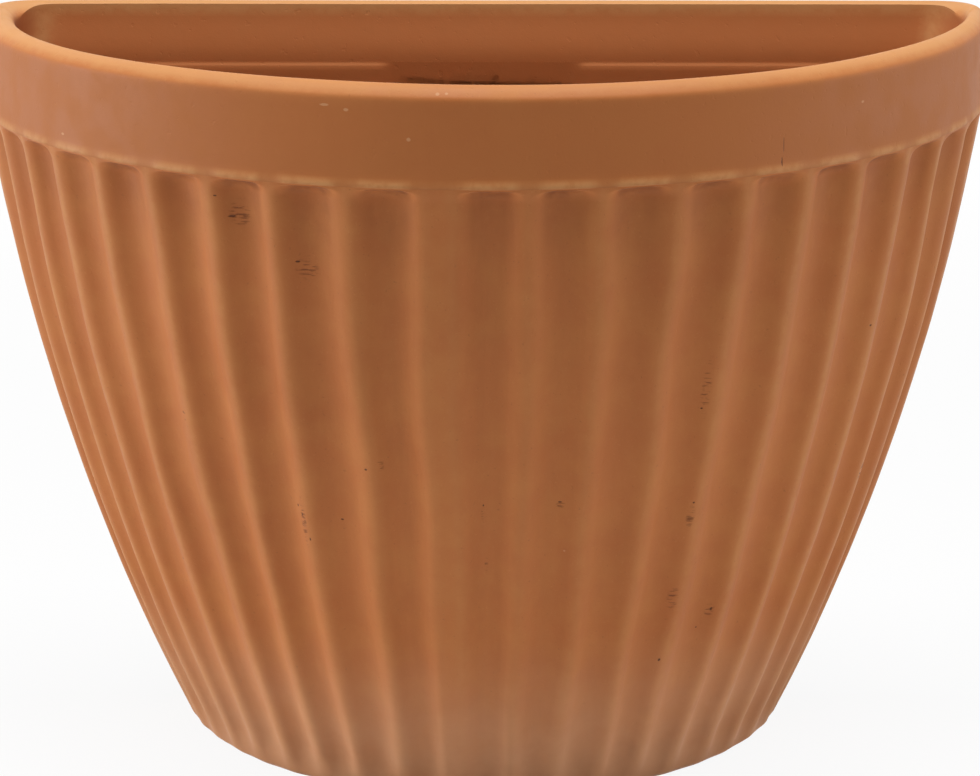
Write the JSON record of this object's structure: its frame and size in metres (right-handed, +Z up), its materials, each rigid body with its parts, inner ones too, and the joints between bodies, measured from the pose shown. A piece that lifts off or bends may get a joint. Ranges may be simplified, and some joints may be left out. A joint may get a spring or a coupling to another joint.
{
  "type": "half-round wall planter",
  "caption": "Half-round terracotta wall planter with a plain rim band, concave flutes down its bowed front, a flat back with a hanging hole and a floor with a drain hole",
  "frame": {"origin": "on the ground, under the middle of the object's box", "axes": "+Z up; +Y out of the flat back, towards the wall; the fluted front faces -Y; +X to the right seen from the front"},
  "size_m": [0.2996, 0.15, 0.2195],
  "materials": {
    "terracotta": "unglazed matte fired clay"
  },
  "bodies": {
    "root": {"fluted_wall": "terracotta", "rim_band": "terracotta", "back_slab": "terracotta", "base_slab": "terracotta"}
  },
  "joints": []
}
